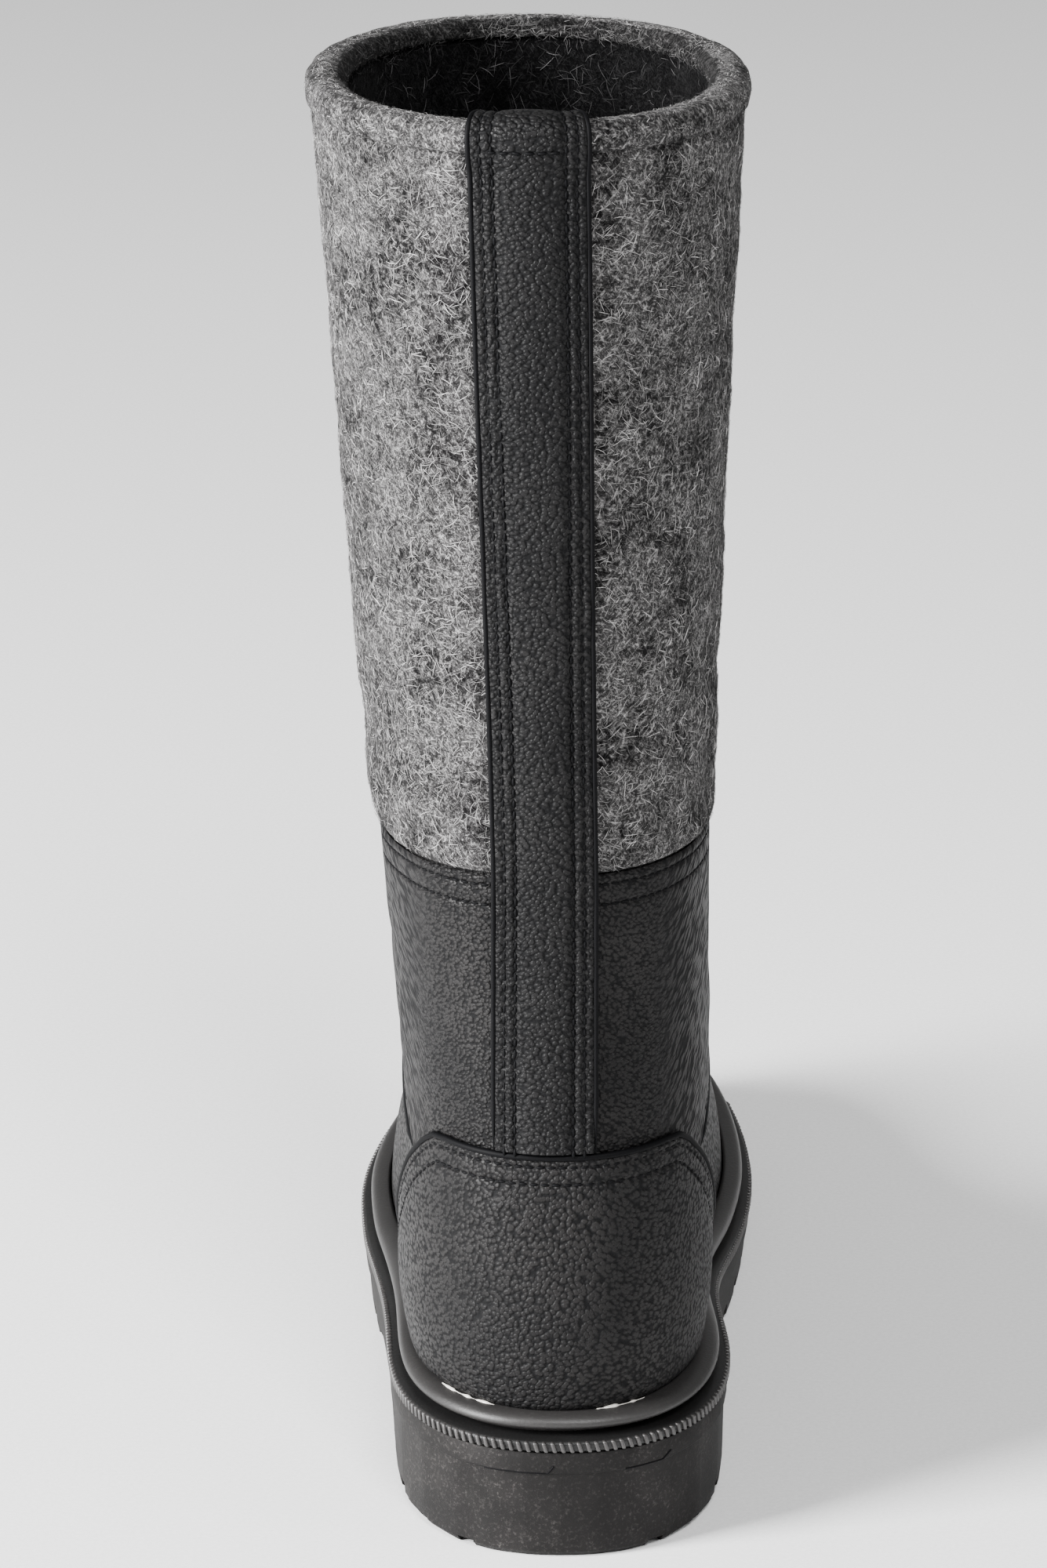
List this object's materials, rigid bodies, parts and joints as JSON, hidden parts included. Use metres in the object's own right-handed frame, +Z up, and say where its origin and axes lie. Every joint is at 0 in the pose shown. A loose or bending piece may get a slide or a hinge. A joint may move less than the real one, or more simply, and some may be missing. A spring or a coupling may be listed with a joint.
{
  "type": "felt boot",
  "caption": "Left pull-on winter boot: leather foot, tall grey felt shaft with leather back strip, and lugged rubber sole.",
  "frame": {"origin": "on the ground at the middle of the boot's footprint box", "axes": "+Z up, +Y from heel to toe, +X towards the medial side of this left boot"},
  "size_m": [0.1136, 0.3054, 0.35],
  "materials": {
    "rubber": "matte moulded rubber, dark warm grey",
    "leather": "black pebbled leather with a soft sheen",
    "grey_felt": "mid grey marled wool felt with loose light fibres",
    "dark_felt": "dark charcoal wool felt"
  },
  "bodies": {
    "root": {"outsole": "rubber", "welt": "rubber", "rand": "rubber", "insole": "dark_felt", "upper": "leather", "shaft": "grey_felt", "collar_binding": "grey_felt", "heel_counter": "leather", "quarter": "leather", "backstay": "leather"}
  },
  "joints": []
}
